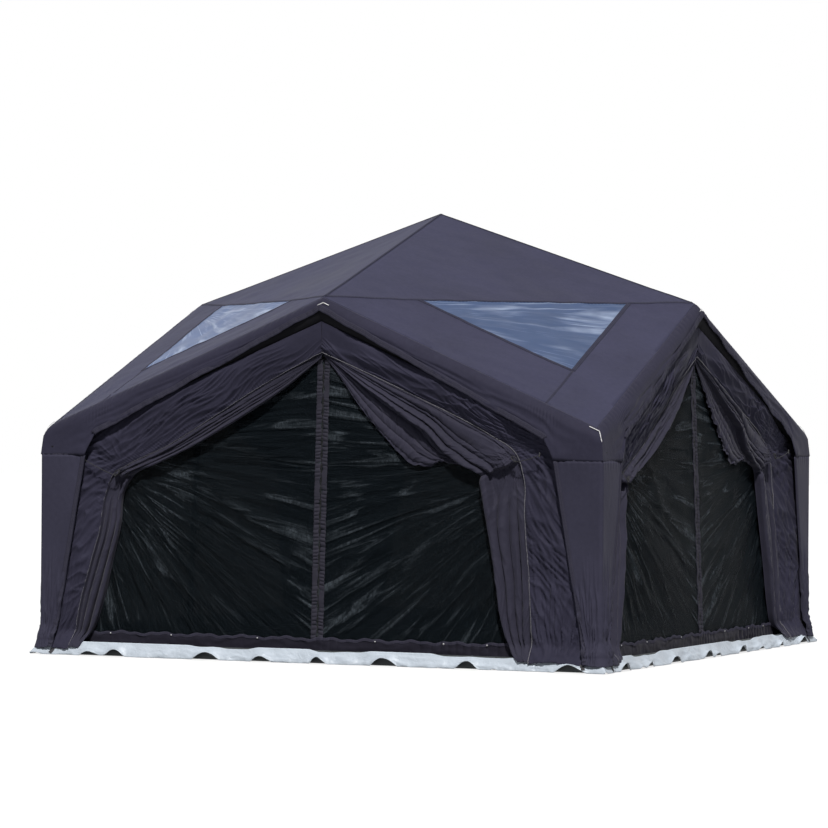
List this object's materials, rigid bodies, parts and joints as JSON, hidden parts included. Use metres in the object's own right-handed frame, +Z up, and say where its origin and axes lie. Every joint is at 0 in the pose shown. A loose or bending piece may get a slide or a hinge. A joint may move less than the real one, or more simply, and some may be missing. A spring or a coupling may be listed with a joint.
{
  "type": "inflatable tent",
  "caption": "Inflatable square tent with a gable over a zipped mesh doorway on each side, skylights in the hips, tied-back curtains and a silver groundsheet.",
  "frame": {"origin": "centre of the groundsheet on the ground, under the roof apex", "axes": "+Z up, -Y out through the front doorway, +X out through the right doorway"},
  "size_m": [4.14, 4.14, 2.9799],
  "materials": {
    "beam_sleeve": "dark woven polyester sleeve",
    "roof_fabric": "coated dark grey-violet polyester with a low sheen",
    "wall_fabric": "coated dark grey-violet polyester with a low sheen",
    "curtain_fabric": "coated dark grey-violet polyester with a low sheen",
    "skylight_film": "clear bluish film",
    "mesh_net": "fine black insect netting",
    "zip_tape": "woven tape with a nylon coil",
    "zip_metal": "dark coated zinc",
    "silver_sheet": "silver coated woven polyethylene",
    "valve_plastic": "black moulded nylon"
  },
  "bodies": {
    "tent": {"air_leg_back_left": "beam_sleeve", "air_leg_back_right": "beam_sleeve", "air_leg_front_left": "beam_sleeve", "air_leg_front_right": "beam_sleeve", "curtain_back_left": "curtain_fabric", "curtain_back_right": "curtain_fabric", "curtain_front_left": "curtain_fabric", "curtain_front_right": "curtain_fabric", "curtain_left_left": "curtain_fabric", "curtain_left_right": "curtain_fabric", "curtain_right_left": "curtain_fabric", "curtain_right_right": "curtain_fabric", "door_zip_back": "zip_tape", "door_zip_front": "zip_tape", "door_zip_left": "zip_tape", "door_zip_right": "zip_tape", "gable_arch_back": "beam_sleeve", "gable_arch_front": "beam_sleeve", "gable_arch_left": "beam_sleeve", "gable_arch_right": "beam_sleeve", "gable_fairing_back": "wall_fabric", "gable_fairing_front": "wall_fabric", "gable_fairing_left": "wall_fabric", "gable_fairing_right": "wall_fabric", "groundsheet": "silver_sheet", "hip_band_back_left_by_back": "roof_fabric", "hip_band_back_left_by_left": "roof_fabric", "hip_band_back_right_by_back": "roof_fabric", "hip_band_back_right_by_right": "roof_fabric", "hip_band_front_left_by_front": "roof_fabric", "hip_band_front_left_by_left": "roof_fabric", "hip_band_front_right_by_front": "roof_fabric", "hip_band_front_right_by_right": "roof_fabric", "inflation_valve": "valve_plastic", "leg_cover_back_left": "wall_fabric", "leg_cover_back_right": "wall_fabric", "leg_cover_front_left": "wall_fabric", "leg_cover_front_right": "wall_fabric", "mesh_screen_back": "mesh_net", "mesh_screen_front": "mesh_net", "mesh_screen_left": "mesh_net", "mesh_screen_right": "mesh_net", "ridge_cross": "beam_sleeve", "skylight_back_left": "skylight_film", "skylight_back_right": "skylight_film", "skylight_front_left": "skylight_film", "skylight_front_right": "skylight_film", "top_panel_back_left": "roof_fabric", "top_panel_back_right": "roof_fabric", "top_panel_front_left": "roof_fabric", "top_panel_front_right": "roof_fabric"},
    "slider_front": {"zip_slider_front": "zip_metal"},
    "tab_front": {"pull_tab_front": "zip_metal"},
    "slider_right": {"zip_slider_right": "zip_metal"},
    "tab_right": {"pull_tab_right": "zip_metal"},
    "slider_back": {"zip_slider_back": "zip_metal"},
    "tab_back": {"pull_tab_back": "zip_metal"},
    "slider_left": {"zip_slider_left": "zip_metal"},
    "tab_left": {"pull_tab_left": "zip_metal"},
    "cap": {"valve_cap": "valve_plastic"}
  },
  "joints": [
    {"name": "zip_slide_front", "type": "slide", "parent": "tent", "child": "slider_front", "axis": [0, 0.0416, 0.9991], "range_m": [-0.07, 1.7896]},
    {"name": "tab_hinge_front", "type": "hinge", "parent": "slider_front", "child": "tab_front", "pos_m": [0, -1.92447, 0.14022], "axis": [-1, 0, 0], "range_deg": [0, 175]},
    {"name": "zip_slide_right", "type": "slide", "parent": "tent", "child": "slider_right", "axis": [-0.0416, 0, 0.9991], "range_m": [-0.07, 1.7896]},
    {"name": "tab_hinge_right", "type": "hinge", "parent": "slider_right", "child": "tab_right", "pos_m": [1.92447, 0, 0.14022], "axis": [0, -1, 0], "range_deg": [0, 175]},
    {"name": "zip_slide_back", "type": "slide", "parent": "tent", "child": "slider_back", "axis": [0, -0.0416, 0.9991], "range_m": [-0.07, 1.7896]},
    {"name": "tab_hinge_back", "type": "hinge", "parent": "slider_back", "child": "tab_back", "pos_m": [0, 1.92447, 0.14022], "axis": [1, 0, 0], "range_deg": [0, 175]},
    {"name": "zip_slide_left", "type": "slide", "parent": "tent", "child": "slider_left", "axis": [0.0416, 0, 0.9991], "range_m": [-0.07, 1.7896]},
    {"name": "tab_hinge_left", "type": "hinge", "parent": "slider_left", "child": "tab_left", "pos_m": [-1.92447, 0, 0.14022], "axis": [0, 1, 0], "range_deg": [0, 175]},
    {"name": "valve_cap_hinge", "type": "hinge", "parent": "tent", "child": "cap", "pos_m": [-1.8552, 1.8552, 0.3837], "axis": [-0.7071, -0.7071, 0], "range_deg": [0, 140]}
  ]
}
